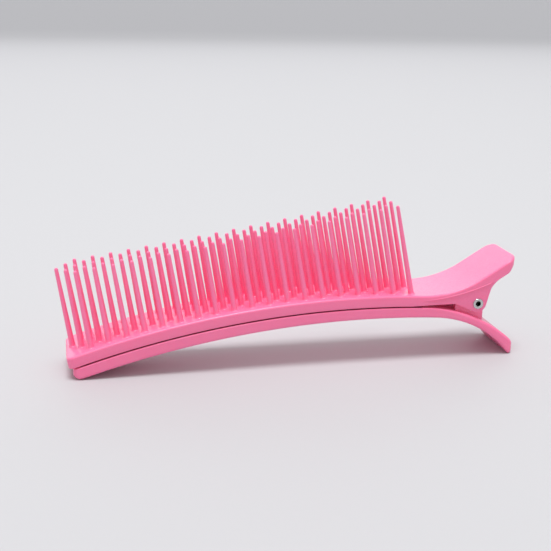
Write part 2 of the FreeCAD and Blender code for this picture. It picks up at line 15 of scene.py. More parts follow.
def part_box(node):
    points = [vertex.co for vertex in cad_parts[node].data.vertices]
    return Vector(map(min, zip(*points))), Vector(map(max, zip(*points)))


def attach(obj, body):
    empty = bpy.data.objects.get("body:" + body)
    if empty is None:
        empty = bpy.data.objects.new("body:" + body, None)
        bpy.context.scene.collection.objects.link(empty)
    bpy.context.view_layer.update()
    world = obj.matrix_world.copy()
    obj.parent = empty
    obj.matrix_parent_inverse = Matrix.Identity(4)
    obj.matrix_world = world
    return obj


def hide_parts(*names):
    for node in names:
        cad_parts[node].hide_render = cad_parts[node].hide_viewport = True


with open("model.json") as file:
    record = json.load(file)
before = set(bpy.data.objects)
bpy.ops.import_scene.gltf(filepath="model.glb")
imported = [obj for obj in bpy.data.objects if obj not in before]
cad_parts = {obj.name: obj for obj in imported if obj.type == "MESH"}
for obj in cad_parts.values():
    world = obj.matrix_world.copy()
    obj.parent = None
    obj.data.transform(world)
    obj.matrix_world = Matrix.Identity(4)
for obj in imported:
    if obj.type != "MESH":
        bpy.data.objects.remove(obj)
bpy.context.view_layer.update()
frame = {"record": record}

bl_info = {
    "name": "Comb Sectioning Clip",
    "version": (1, 0, 0),
    "blender": (4, 5, 0),
    "location": "3D View > Sidebar > Clip",
    "description": "Builds a hair sectioning clip with a comb of pins",
    "category": "Add Mesh",
}

MM = 0.001
WELD = 2e-7
SHARP = math.radians(38)

# ---- places taken from the frame
JOINT = frame["record"]["behaviour"]["joints"][0]
HINGE = np.array([JOINT["pos_m"][0], JOINT["pos_m"][2]])
OPENING = math.radians(JOINT["range_deg"][1])
HALF_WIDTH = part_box("upper_arm")[1].y
LOWER_NOSE_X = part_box("lower_arm")[0].x
TAIL_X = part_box("lower_arm")[1].x
RIVET_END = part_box("hinge_rivet")[1].y


def clip():
    """The clip's settings on the scene."""
    return bpy.context.scene.comb_clip


def length(name, value, about):
    """A length in metres, given in millimetres."""
    return FloatProperty(name=name, description=about, default=value * MM, min=0.0,
                         precision=5, subtype="DISTANCE", unit="LENGTH")


def slope(name, degrees, about):
    """An angle, given in degrees."""
    return FloatProperty(name=name, description=about, default=math.radians(degrees),
                         subtype="ANGLE", unit="ROTATION")


def colour(name, value, about):
    """A colour as sRGB hex digits."""
    return StringProperty(name=name, description=about, default=value)


# ---- settings
class ArmSettings(bpy.types.PropertyGroup):
    """Shape of the two arms, as in the CAD model."""

    wall: length("Wall", 1.8, "Side walls and end walls of both arms")
    plate: length("Plate", 1.8, "Top of the upper arm over its channel")
    floor_plate: length("Floor", 1.6, "Floor of the lower arm under its channel")
    depth: length("Upper depth", 3.5, "Upper arm from the seam to its top")
    tab_depth: length("Tab depth", 3.4, "Thickness of the thumb tab at its edge")
    tab_slope: slope("Tab slope", 31.5, "Slope of the straight end of the tab")
    tab_curve: length("Tab curve", 33.0, "Radius of the upward curve of the tab")
    nose_corner: length("Nose corner", 2.2, "Corners of both noses in plan")
    tab_corner: length("Tab corner", 3.8, "Corners of the tab in plan")
    tab_lip: length("Tab lip", 0.6, "Square upper edge of the tab's end")
    tab_undercut: length("Tab undercut", 2.7, "How far the lower edge of the tab's end stands back")
    top_edge: length("Top edge", 0.6, "Rounding along the top of the upper arm")
    tail_edge: length("Tail edge", 0.9, "Rounding along the top of the tail")
    under_edge: length("Under edge", 0.8, "Rounding under the lower arm")
    small_edge: length("Small edge", 0.3, "Rounding of the remaining moulded edges")
    cheek_radius: length("Cheek", 2.9, "Outer cheeks round the rivet")
    cheek_inset: length("Cheek inset", 0.25, "Step from the rim of the arm to its cheeks")
    parting_ridge: length("Parting ridge", 0.12, "Moulding line that stands out under the rim")
    inner_cheek: length("Inner cheek", 1.6, "Thickness of the lower arm's cheeks")
    inner_radius: length("Inner cheek radius", 2.6, "Lower arm's cheeks round the rivet")
    rail_width: length("Rail", 3.0, "Width of the toothed rail in the lower jaw")
    rail_pitch: length("Rail pitch", 3.0, "One tooth of the rail")


class CombSettings(bpy.types.PropertyGroup):
    """The pins, which lean towards the nose."""

    lean: slope("Draw", 11.07, "Draw of the comb from upright, towards the nose")
    lean_nose: slope("Nose lean", 9.0, "Lean of the first pin")
    lean_last: slope("Last lean", 11.8, "Lean of the last column")
    waist: FloatProperty(name="Waist", default=0.65,
                         description="Share of a pin's length with even steps between columns")
    columns: IntProperty(name="Columns", description="Columns of pins along the arm",
                         default=39, min=2)
    row_pitch: length("Row pitch", 3.42, "Distance between the rows")
    root: length("Root radius", 0.88, "Pin where it leaves the arm")
    tip: length("Tip radius", 0.56, "Pin at its rounded tip")
    foot: length("Foot fillet", 0.3, "Fillet where the pin meets the arm")
    first_pin: length("First pin", 2.77, "From the nose to the first pin, square to the draw")
    last_pin: length("Last pin", 20.6, "From the last column to the hinge, square to the draw")
    first_length: length("First length", 24.9, "First pin from the arm to its tip")
    last_length: length("Last length", 28.8, "Last column from the arm to its tips")
    sag: length("Sag", 0.7, "How far the line of tips dips in its middle")


class HingeSettings(bpy.types.PropertyGroup):
    """The tubular rivet and the torsion spring round it."""

    shank: length("Shank", 1.2, "Radius of the rivet between its rolled ends")
    bore: length("Bore", 0.8, "Radius of the hole through the rivet")
    flange: length("Flange", 1.7, "Radius of the rolled ends")
    flange_height: length("Flange height", 0.45, "How far the rolled ends stand out")
    wire: length("Wire", 0.45, "Radius of the spring wire")
    coil: length("Coil", 2.05, "Mean radius of the coil")
    coil_width: length("Coil width", 7.23, "First to last turn, across")
    leg: length("Leg", 6.0, "Straight legs of the spring")
    upper_leg: slope("Upper leg", 53.5, "Direction of the leg under the tab")
    lower_leg: slope("Lower leg", -43.5, "Direction of the leg over the tail")


class LookSettings(bpy.types.PropertyGroup):
    """Colours, as sRGB hex digits."""

    plastic: colour("Plastic", "FF7FAB", "Pigment of the moulded plastic")
    plastic_deep: colour("Deep plastic", "FF4F8E", "Pigment where the flow lines gather")
    rivet: colour("Rivet", "C9CBCB", "Nickel plating of the rivet")
    spring: colour("Spring", "8E8F92", "Drawn spring wire")
    floor_near: colour("Floor", "C1C1C4", "Studio floor near the clip")
    # the far floor colour is painted shade: the floor is darkened away from the clip in place of
    # the light falling off
    floor_far_painted_shade: colour("Floor far", "9E9EA2", "Studio floor far behind")


class ClipSettings(bpy.types.PropertyGroup):
    """All settings of the clip."""

    arms: PointerProperty(type=ArmSettings)
    comb: PointerProperty(type=CombSettings)
    hinge: PointerProperty(type=HingeSettings)
    looks: PointerProperty(type=LookSettings)


# ---- plain geometry
def pair(x, z):
    """Points (x, z) from two arrays."""
    return np.stack(np.broadcast_arrays(x, z), axis=-1)


def xyz(x, y, z):
    """Points (x, y, z) from arrays or numbers."""
    return np.stack(np.broadcast_arrays(x, y, z), axis=-1)


def way(angle):
    """Unit vector at an angle from +X towards +Z."""
    return pair(np.cos(angle), np.sin(angle))


def ease(share):
    """Smooth step: 3t^2 - 2t^3, with t held between 0 and 1."""
    held = np.clip(share, 0.0, 1.0)
    return held * held * (3 - 2 * held)


def quarter(count):
    """Angles of a quarter turn in even steps."""
    return np.linspace(0.0, math.pi / 2, count)


def circle(count):
    """Angles of a full turn in even steps."""
    return np.linspace(0.0, 2 * math.pi, count, endpoint=False)


def arc(centre, radius, first, last, count):
    """Points of a circle between two angles."""
    return np.asarray(centre) + radius * way(np.linspace(first, last, count))


def line(start, end, count):
    """Points of a straight line."""
    share = np.linspace(0.0, 1.0, count)[:, None]
    return np.asarray(start) * (1 - share) + np.asarray(end) * share


def rounding(radius, count):
    """Depth and inset down a rounded edge: r (1 - cos t), r (1 - sin t)."""
    return [(radius * (1 - math.cos(a)), radius * (1 - math.sin(a))) for a in quarter(count)]


def crossing(point, angle, other, other_angle):
    """Where two straight lines cross."""
    first, second = way(angle), way(other_angle)
    turn = first[0] * second[1] - first[1] * second[0]
    gap = other - point
    return point + first * (gap[0] * second[1] - gap[1] * second[0]) / turn


def over(centre, radius, x):
    """Height of a circle's upper side at x: zc + sqrt(r^2 - (x - xc)^2)."""
    return centre[1] + np.sqrt(np.maximum(radius ** 2 - (x - centre[0]) ** 2, 0.0))


def to_circle(points, ways, centre, radius):
    """How far points are from a circle, along their ways."""
    gap = points - centre
    inner = (gap * ways).sum(-1)
    return np.sqrt(inner ** 2 - (gap ** 2).sum(-1) + radius ** 2) - inner


# ---- mesh making
def grid_quads(shape, start=0, wrap_rows=False, wrap_columns=False):
    """Quads of a grid of points that is numbered row by row."""
    rows, columns = shape
    index = start + np.arange(rows * columns).reshape(rows, columns)
    if wrap_rows:
        index = np.vstack([index, index[:1]])
    if wrap_columns:
        index = np.hstack([index, index[:, :1]])
    corners = (index[:-1, :-1], index[:-1, 1:], index[1:, 1:], index[1:, :-1])
    return np.stack(corners, axis=-1).reshape(-1, 4)


class Skin:
    """Grids and flat caps that are welded into one closed mesh."""

    def __init__(self):
        self.points, self.faces, self.count = [], [], 0

    def grid(self, points, **wraps):
        """Adds a grid of points with shape (rows, columns, 3)."""
        self.faces += grid_quads(points.shape[:2], self.count, **wraps).tolist()
        self.points.append(points.reshape(-1, 3))
        self.count += points.shape[0] * points.shape[1]

    def cap(self, ring):
        """Adds one flat face round a ring of points."""
        self.faces.append(list(range(self.count, self.count + len(ring))))
        self.points.append(ring)
        self.count += len(ring)

    def tube(self, rings):
        """Adds a tube of rings and closes both of its ends."""
        self.grid(rings, wrap_columns=True)
        self.cap(rings[0])
        self.cap(rings[-1])

    def mesh(self, name):
        """The welded mesh, its faces outwards and its real edges sharp."""
        mesh = bpy.data.meshes.new(name)
        mesh.from_pydata(np.concatenate(self.points), [], self.faces)
        work = bmesh.new()
        work.from_mesh(mesh)
        bmesh.ops.remove_doubles(work, verts=work.verts, dist=WELD)
        bmesh.ops.recalc_face_normals(work, faces=work.faces)
        work.to_mesh(mesh)
        work.free()
        mesh.shade_smooth()
        mesh.set_sharp_from_angle(angle=SHARP)
        return mesh


def tube(name, rings):
    """A closed tube of rings as a mesh."""
    skin = Skin()
    skin.tube(rings)
    return skin.mesh(name)


def new_object(name, data):
    """A new object in the scene."""
    item = bpy.data.objects.new(name, data)
    bpy.context.scene.collection.objects.link(item)
    return item


def place(name, mesh, body, node, material):
    """Puts a finished mesh on a CAD body in place of a CAD node."""
    piece = new_object(name, mesh)
    mesh.materials.append(material)
    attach(piece, body)
    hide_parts(node)


def place_moulding(name, mesh, body, node):
    """Puts a moulded mesh on a CAD body in place of a CAD node."""
    place(name, mesh, body, node, moulded_plastic())


def mirrored(half):
    """Columns across an arm, from one edge (1) over the middle (0) to the other (-1)."""
    return np.concatenate([half, [0.0], -np.array(half)[::-1]])


class Plan:
    """An arm seen from above: a long rectangle with round corners, as a grid.

    The stations are the rows' places along the arm, and the columns are shares
    of the half width. The corners are quarter circles: along = r (1 - cos t),
    across = half - r (1 - sin t). A loop runs round the edge of the grid.
    """

    def __init__(self, stations, first_corner, last_corner, columns):
        turn, middle = quarter(7), len(stations) - 2
        back = turn[::-1]
        self.along = np.concatenate([stations[0] - first_corner * np.cos(turn), stations[1:-1],
                                     stations[-1] + last_corner * np.cos(back)])
        self.across = np.concatenate([HALF_WIDTH - first_corner * (1 - np.sin(turn)),
                                      np.full(middle, HALF_WIDTH),
                                      HALF_WIDTH - last_corner * (1 - np.sin(back))])
        self.out_s = np.concatenate([-np.cos(turn), np.zeros(middle), np.cos(back)])
        self.out_y = np.sqrt(1 - self.out_s ** 2)
        self.columns = columns
        row, column = self.border()
        side = np.where(column == 0, 1.0, np.where(column == len(columns) - 1, -1.0, 0.0))
        self.loop_s, self.loop_y = self.along[row], self.across[row] * columns[column]
        # end faces look straight ahead or behind, the sides and corners square to the plan
        self.push_s = np.where(side == 0, np.where(row == 0, -1.0, 1.0), self.out_s[row])
        self.push_y = side * self.out_y[row]

    def border(self):
        """Row and column numbers round the edge of the grid."""
        rows, columns = len(self.along), len(self.columns)
        down, over_inner = np.arange(rows), np.arange(1, columns - 1)
        row = np.concatenate([down, np.full(columns - 2, rows - 1), down[::-1],
                              np.zeros(columns - 2, int)])
        column = np.concatenate([np.zeros(rows, int), over_inner, np.full(rows, columns - 1),
                                 over_inner[::-1]])
        return row, column

    def loop(self, inset):
        """Places along and across of the loop, moved inwards."""
        return self.loop_s - inset * self.push_s, self.loop_y - inset * self.push_y

    def sheet(self, inset):
        """Places along and across of the whole grid, with its edge moved inwards."""
        s = (self.along - inset * self.out_s)[:, None]
        y = (self.across - inset * self.out_y)[:, None] * self.columns
        return np.broadcast_to(s, y.shape), y


def cut_hole(mesh, radius):
    """Cuts a round hole along Y at the hinge through a mesh."""
    drill_mesh = bpy.data.meshes.new("drill")
    work = bmesh.new()
    bmesh.ops.create_cone(work, cap_ends=True, segments=64, radius1=radius, radius2=radius,
                          depth=3 * HALF_WIDTH)
    along_y = Matrix.Rotation(math.pi / 2, 4, "X")
    work.transform(Matrix.Translation((HINGE[0], 0, HINGE[1])) @ along_y)
    work.to_mesh(drill_mesh)
    work.free()
    drill, blank = new_object("drill", drill_mesh), new_object("blank", mesh)
    cut = blank.modifiers.new("Hole", "BOOLEAN")
    cut.operation = "DIFFERENCE"
    cut.solver = "EXACT"
    cut.object = drill
    ready = blank.evaluated_get(bpy.context.evaluated_depsgraph_get())
    result = bpy.data.meshes.new_from_object(ready)
    for item in (drill, blank):
        bpy.data.objects.remove(item)
    bpy.data.meshes.remove(drill_mesh)
    result.shade_smooth()
    result.set_sharp_from_angle(angle=SHARP)
    return result


# ---- the arms' curves
def arch(crest, end):
    """Radius and centre of the circle with its top at the crest, through the end.

    With half the span d and the rise h, r = (d^2 + h^2) / 2h.
    """
    span, rise = crest - end
    radius = (span ** 2 + rise ** 2) / (2 * rise)
    return radius, crest - np.array([0.0, radius])


def onward(centre, radius, x, next_radius):
    """Centre of the circle that carries another one on past x without a kink."""
    joint = np.array([x, over(centre, radius, x)])
    return joint + (centre - joint) * next_radius / radius


SEAM_GAP = 0.42 * MM
NOSE_X = LOWER_NOSE_X - 1.2 * MM
SEAM_CREST = np.array([HINGE[0] - 35.7 * MM, 17.95 * MM])
SEAM_NOSE = np.array([NOSE_X, 3.336 * MM])
SEAM_RADIUS, SEAM_CENTRE = arch(SEAM_CREST, SEAM_NOSE)
BELLY_CREST = np.array([HINGE[0] - 33.8 * MM, 14.15 * MM])
BELLY_RADIUS, BELLY_CENTRE = arch(BELLY_CREST, np.array([LOWER_NOSE_X + 1.93 * MM, 0.0]))
BEND_X = HINGE[0] - 18.2 * MM
THROAT_X = HINGE[0] - 22.2 * MM
TAB_X = HINGE[0] + 12.0 * MM
SHOULDER = HINGE + np.array([-7.4, 0.2]) * MM
REAR_LEAN = math.radians(14.0)
REAR_ROUND = 7.0 * MM
TAIL_TOP_X = HINGE[0] - 17.2 * MM
TAIL_TOP_RADIUS = 49.0 * MM
TAIL_UNDER_X = HINGE[0] - 13.7 * MM
TAIL_UNDER_RADIUS = 35.0 * MM
JAW_RADIUS = SEAM_RADIUS - SEAM_GAP
TAIL_TOP_CENTRE = onward(SEAM_CENTRE, JAW_RADIUS, TAIL_TOP_X, TAIL_TOP_RADIUS)
TAIL_UNDER_CENTRE = onward(BELLY_CENTRE, BELLY_RADIUS, TAIL_UNDER_X, TAIL_UNDER_RADIUS)
RIM_ANGLE = math.radians(4.0)


class UpperLine:
    """The upper arm's top: an arch, the tab's upward curve and its straight end.

    A station is a length s from the nose. Its line runs down through the arm,
    leaning with the pins at the nose and square to the top on the tab.
    """

    def __init__(self, arms, lean):
        self.lean, self.tab = lean, arms.tab_slope
        self.arch_radius = SEAM_RADIUS + arms.depth
        self.curve_radius = arms.tab_curve
        up = way(lean + math.pi / 2)
        rise = to_circle(SEAM_NOSE, up, SEAM_CENTRE, self.arch_radius)
        nose = SEAM_NOSE + rise * up - SEAM_CENTRE
        self.nose_angle = math.atan2(nose[0], nose[1])
        self.bend_angle = math.asin((BEND_X - SEAM_CENTRE[0]) / self.arch_radius)
        self.arch_length = self.arch_radius * (self.bend_angle - self.nose_angle)
        self.curve_length = self.curve_radius * (self.tab + self.bend_angle)
        self.curve_centre = SEAM_CENTRE + ((self.arch_radius + self.curve_radius)
                                           * way(math.pi / 2 - self.bend_angle))
        straight = self.curve_centre + self.curve_radius * way(self.tab - math.pi / 2)
        self.total = (self.arch_length + self.curve_length
                      + (TAB_X - straight[0]) / math.cos(self.tab))

    def top(self, s):
        """Points (x, z) of the top and unit vectors up along the stations' lines."""
        angle = self.nose_angle + np.minimum(s, self.arch_length) / self.arch_radius
        on_circle = SEAM_CENTRE + self.arch_radius * pair(np.sin(angle), np.cos(angle))
        reach = np.clip(s - self.arch_length, 0.0, self.curve_length)
        tangent = reach / self.curve_radius - self.bend_angle
        curve = self.curve_centre + self.curve_radius * pair(np.sin(tangent), -np.cos(tangent))
        rest = np.maximum(s - self.arch_length - self.curve_length, 0.0)
        on_arch = s < self.arch_length
        point = np.where(on_arch[..., None], on_circle, curve) + rest[..., None] * way(self.tab)
        share = np.clip(s / self.arch_length, 0.0, 1.0)
        lean = np.where(on_arch, self.lean + (-self.bend_angle - self.lean) * share, tangent)
        return point, pair(-np.sin(lean), np.cos(lean))

    def place(self, s, y, depth):
        """3-D points at a depth under the top: T(s) - depth * up(s)."""
        point, up = self.top(s)
        flat = point - depth[..., None] * up
        return xyz(flat[..., 0], y, flat[..., 1])

    def station(self, x):
        """Length from the nose at which the arch stands over x."""
        angle = math.asin((x - SEAM_CENTRE[0]) / self.arch_radius)
        return self.arch_radius * (angle - self.nose_angle)

    def depth_to(self, outline, s, missing):
        """Depth along each station's line at which it crosses a dense polyline."""
        point, up = self.top(s)
        across = pair(up[:, 1], -up[:, 0])
        gap = outline[None] - point[:, None]
        side = (gap * across[:, None]).sum(-1)
        depth = -(gap * up[:, None]).sum(-1)
        passes = (side[:, :-1] <= 0) & (side[:, 1:] > 0)
        first = passes.argmax(1)
        row = np.arange(len(s))
        share = side[row, first] / (side[row, first] - side[row, first + 1])
        found = depth[row, first] + share * (depth[row, first + 1] - depth[row, first])
        return np.where(passes.any(1), found, missing)


def cheek_outline(arms, upper):
    """Lower edge of the upper arm and its cheeks, and the line of the rim.

    The edge follows the seam, opens in a straight line to the shoulder, runs
    down to the boss round the rivet, up the rear edge, through a hollow and out
    along the underside of the tab.
    """
    boss = arms.cheek_radius
    throat = np.array([THROAT_X, over(SEAM_CENTRE, SEAM_RADIUS, THROAT_X)])
    gap = HINGE - SHOULDER
    tilt = math.atan2(gap[1], gap[0]) - math.asin(boss / math.hypot(*gap))
    boss_front = HINGE + boss * way(tilt - math.pi / 2)
    boss_rear = HINGE + boss * way(-REAR_LEAN)
    end, up = upper.top(np.array(upper.total))
    under = end - arms.tab_depth * up
    corner = crossing(boss_rear, math.pi / 2 - REAR_LEAN, under, arms.tab_slope)
    opening = (math.pi / 2 + REAR_LEAN + arms.tab_slope) / 2
    reach = REAR_ROUND / math.tan(opening)
    middle = corner + REAR_ROUND / math.sin(opening) * way(arms.tab_slope - opening)
    seam_x = np.linspace(NOSE_X - 0.5 * MM, THROAT_X, 240)
    edge = np.concatenate([
        pair(seam_x, over(SEAM_CENTRE, SEAM_RADIUS, seam_x))[:-1],
        line(throat, SHOULDER, 40)[:-1],
        line(SHOULDER, boss_front, 30)[:-1],
        arc(HINGE, boss, tilt - math.pi / 2, -REAR_LEAN, 60)[:-1],
        line(boss_rear, corner - reach * way(math.pi / 2 - REAR_LEAN), 20)[:-1],
        arc(middle, REAR_ROUND, math.pi - REAR_LEAN, arms.tab_slope + math.pi / 2, 50)[:-1],
        line(corner + reach * way(arms.tab_slope), under + 1 * MM * way(arms.tab_slope), 20)])

    start, up = upper.top(np.array(upper.arch_length))
    rim_front = start - arms.depth / 2 * up
    rim_rear = corner + REAR_ROUND * way(arms.tab_slope)
    bend = crossing(rim_front, RIM_ANGLE, rim_rear, arms.tab_slope)
    share = np.linspace(0.0, 1.0, 120)[:, None]
    rim = rim_front * (1 - share) ** 2 + bend * 2 * share * (1 - share) + rim_rear * share ** 2
    return edge, rim


# ---- materials
def srgb(digits):
    """Linear colour from sRGB hex digits."""
    values = np.array([int(digits[n:n + 2], 16) for n in (0, 2, 4)]) / 255
    linear = np.where(values <= 0.04045, values / 12.92, ((values + 0.055) / 1.055) ** 2.4)
    return (*linear.tolist(), 1.0)


def add(tree, kind, values=None, links=None, **settings):
    """Adds a node, with its settings, its sockets' values and its links."""
    node = tree.nodes.new("ShaderNode" + kind)
    for key, value in settings.items():
        setattr(node, key, value)
    for socket, value in (values or {}).items():
        node.inputs[socket].default_value = value
    for socket, source in (links or {}).items():
        tree.links.new(source, node.inputs[socket])
    return node


def new_material(name):
    """An empty node material; returns it with its tree and Object coordinates."""
    material = bpy.data.materials.new(name)
    material.use_nodes = True
    tree = material.node_tree
    tree.nodes.clear()
    return material, tree, add(tree, "TexCoord").outputs["Object"]


def noise(tree, at, scale, detail):
    """The grey of a noise texture."""
    values = {"Scale": scale, "Detail": detail}
    return add(tree, "TexNoise", values, {"Vector": at}).outputs["Fac"]


def remap(tree, value, start, stop, low, high):
    """A value between start and stop, brought between low and high."""
    ranges = {"From Min": start, "From Max": stop, "To Min": low, "To Max": high}
    return add(tree, "MapRange", ranges, {"Value": value}).outputs[0]


def mix(tree, share, first, second):
    """A colour between two, which are given as sRGB hex digits."""
    colours = {"Color1": srgb(first), "Color2": srgb(second)}
    return add(tree, "MixRGB", colours, {"Fac": share}).outputs[0]


def relief(tree, height, strength, distance, **below):
    """Bump from a height, laid over another one where there is one."""
    values = {"Strength": strength, "Distance": distance}
    return add(tree, "Bump", values, {"Height": height, **below}).outputs[0]


def surface(tree, values, links):
    """The Principled shader and the output of a material."""
    shader = add(tree, "BsdfPrincipled", values, links)
    add(tree, "OutputMaterial", links={"Surface": shader.outputs[0]})


@cache
def moulded_plastic():
    """Injection-moulded polypropylene from a polished mould: clear gloss over strong pigment.

    The eye gets an even pink with soft-edged highlights, faint flow lines along
    the arm, light that bleeds through the thin pins, and a very shallow waviness.
    """
    looks = clip().looks
    material, tree, at = new_material("moulded_polypropylene")
    flow = add(tree, "Mapping", {"Scale": (40.0, 260.0, 420.0)}, {"Vector": at}).outputs[0]
    share = remap(tree, noise(tree, flow, 1.0, 2.0), 0.3, 0.7, 0.0, 0.08)
    grain = noise(tree, at, 5200.0, 2.0)
    waves = relief(tree, noise(tree, at, 420.0, 1.5), 0.12, 0.00012)
    surface(tree,
            {"IOR": 1.49, "Subsurface Weight": 0.25, "Subsurface Radius": (1.0, 0.3, 0.45),
             "Subsurface Scale": 0.0012},
            {"Base Color": mix(tree, share, looks.plastic, looks.plastic_deep),
             "Roughness": remap(tree, grain, 0.3, 0.7, 0.24, 0.32),
             "Normal": relief(tree, grain, 0.10, 0.00002, Normal=waves)})
    return material


@cache
def nickel_plate():
    """Nickel-plated steel tube, rolled over by a tool: bright, with fine turning rings."""
    material, tree, at = new_material("nickel_plated_steel")
    centre = add(tree, "Mapping", {"Location": (-HINGE[0], 0.0, -HINGE[1])}, {"Vector": at})
    rings = add(tree, "TexWave", {"Scale": 900.0, "Distortion": 1.5, "Detail": 2.0},
                {"Vector": centre.outputs[0]}, wave_type="RINGS", rings_direction="Y")
    specks = noise(tree, at, 2600.0, 3.0)
    surface(tree, {"Base Color": srgb(clip().looks.rivet), "Metallic": 1.0},
            {"Roughness": remap(tree, specks, 0.3, 0.75, 0.16, 0.38),
             "Normal": relief(tree, rings.outputs["Fac"], 0.25, 0.00002)})
    return material


@cache
def spring_wire():
    """Drawn spring steel: greyer than the plating, with a fine grain from the die."""
    material, tree, at = new_material("drawn_spring_steel")
    grain = noise(tree, at, 1800.0, 4.0)
    surface(tree, {"Base Color": srgb(clip().looks.spring), "Metallic": 1.0},
            {"Roughness": remap(tree, grain, 0.25, 0.75, 0.25, 0.5),
             "Normal": relief(tree, grain, 0.2, 0.00002)})
    return material


@cache
def matt_paper():
    """Matt studio paper: pale, with a grain of about 2 mm that barely shows.

    Its tone deepens slowly with the distance from the clip: painted shade for the light falling off
    towards the back.
    """
    looks = clip().looks
    material, tree, at = new_material("studio_paper")
    distance = add(tree, "VectorMath", links={0: at}, operation="LENGTH").outputs["Value"]
    # painted shade: the floor goes from its near colour to its darker far colour with the distance,
    # as the light falls off
    far = remap(tree, distance, 0.05, 2.2, 0.0, 1.0)
    surface(tree, {"Specular IOR Level": 0.25},
            {"Base Color": mix(tree, far, looks.floor_near, looks.floor_far_painted_shade),
             "Roughness": remap(tree, noise(tree, at, 500.0, 2.0), 0.0, 1.0, 0.55, 0.7)})
    return material


# ---- operators
# Rings of the upper arm at the rim: place under the rim's line, and the shares of the
# parting ridge and of the step to the cheeks that are reached there.
RIM_RINGS = ((-0.45 * MM, 0.0, 0.0), (-0.2 * MM, 0.0, 0.0), (-0.06 * MM, 1.0, 0.0),
             (0.04 * MM, 0.8, 0.0), (0.14 * MM, 0.0, 1.0), (0.28 * MM, 0.0, 1.0))
# Fillet under the channel's ceiling: place under the plate, and inwards of the wall.
CEILING_RINGS = ((0.3 * MM, 0.0), (0.1 * MM, 0.08 * MM), (0.0, 0.3 * MM))
EDGE_HOLD = 0.2 * MM  # a ring this far under the rounded top edge keeps it round
RIM_LEAST = 0.6 * MM  # the rim stays this far above the lower edge
STEP_AHEAD = 1.0 * MM  # the step to the cheeks starts this far ahead of the bend
STEP_LENGTH = 6.0 * MM  # and grows to its full size over this length
STEP_ROOM, STEP_ROOM_SPAN = 0.65 * MM, 1.2 * MM  # height it needs, and to be full
UNDERCUT_REACH = 1.2  # the undercut's share below the tab's edge
HAIR = 1e-6  # keeps the end stations on the outline
NO_CROSSING = 1.0  # depth of the rim where its line is not met


class CLIP_OT_upper_arm(bpy.types.Operator):
    """Moulds the upper arm: channel, thumb tab and outer cheeks"""

    bl_idname = "clip.upper_arm"
    bl_label = "Upper Arm"

    def undercut(self, arms, upper, s, depth):
        """How far the end of the tab stands back under its lip; nothing further ahead."""
        at_end = ease((s - upper.total + 2 * arms.tab_corner) / (2 * arms.tab_corner))
        share = np.clip((depth - arms.tab_lip) / (arms.tab_depth - arms.tab_lip), 0.0,
                        UNDERCUT_REACH)
        return arms.tab_undercut * share ** 2 * at_end

    def levels(self, arms, upper, s):
        """Depth and inset of the rings: top edge, side, rim, lower edge and up inside."""
        edge, rim_line = cheek_outline(arms, upper)
        low = upper.depth_to(edge, np.clip(s, HAIR, upper.total - HAIR), arms.depth)
        rim = np.where(s < upper.arch_length, arms.depth / 2,
                       upper.depth_to(rim_line, s, NO_CROSSING))
        rim = np.minimum(rim, low - RIM_LEAST)
        fade = (ease((s - upper.arch_length + STEP_AHEAD) / STEP_LENGTH)
                * ease((low - rim - STEP_ROOM) / STEP_ROOM_SPAN))
        step, ridge = arms.cheek_inset * fade, arms.parting_ridge * fade
        top, small, wall = arms.top_edge, arms.small_edge, arms.wall
        levels = rounding(top, 6) + [(top + EDGE_HOLD, 0.0)]
        levels += [(rim + under, step_share * step - ridge_share * ridge)
                   for under, ridge_share, step_share in RIM_RINGS]
        levels += [(low - inset, step + depth) for depth, inset in rounding(small, 5)]
        levels += [(low, wall - small), (low - small, wall)]
        levels += [(arms.plate + under, wall + inwards) for under, inwards in CEILING_RINGS]
        return levels

    def execute(self, context):
        arms, comb, hinge = clip().arms, clip().comb, clip().hinge
        upper = UpperLine(arms, comb.lean)
        jaw = np.linspace(arms.nose_corner, upper.station(THROAT_X), 60)
        rear = np.linspace(jaw[-1], upper.total - arms.tab_corner, 132)[1:]
        plan = Plan(np.concatenate([jaw, rear]), arms.nose_corner, arms.tab_corner,
                    mirrored([1.0, 0.985, 0.93, 0.8, 0.6, 0.4, 0.2]))
        levels = self.levels(arms, upper, plan.loop_s)
        skin, rings = Skin(), []
        for depth, inset in levels:
            s, y = plan.loop(inset)
            s = s - self.undercut(arms, upper, plan.loop_s, depth)
            rings.append(upper.place(s, y, np.broadcast_to(depth, s.shape)))
        skin.grid(np.array(rings), wrap_columns=True)
        for depth, inset in (levels[0], levels[-1]):
            s, y = plan.sheet(inset)
            s = s - self.undercut(arms, upper, plan.along, depth)[:, None]
            skin.grid(upper.place(s, y, np.full(s.shape, depth)))
        mesh = cut_hole(skin.mesh("upper_arm_moulding"), hinge.shank)
        place_moulding("upper_arm_moulding", mesh, "upper_arm", "upper_arm")
        return {"FINISHED"}


ROWS = (1, 2, 3, 4, 5)
MIDDLE_ROW = 3
# Foot of a pin: share of the fillet outside the root, and height over the arm.
FOOT_RINGS = ((1.25, -0.5 * MM), (1.0, 0.0), (0.4, 0.12 * MM), (0.12, 0.34 * MM), (0.0, 0.8 * MM))
# Flat left on a pin's tip: share of the tip's radius, and height under the end.
TIP_FLAT, TIP_FLAT_DEPTH = 0.12, 0.004 * MM


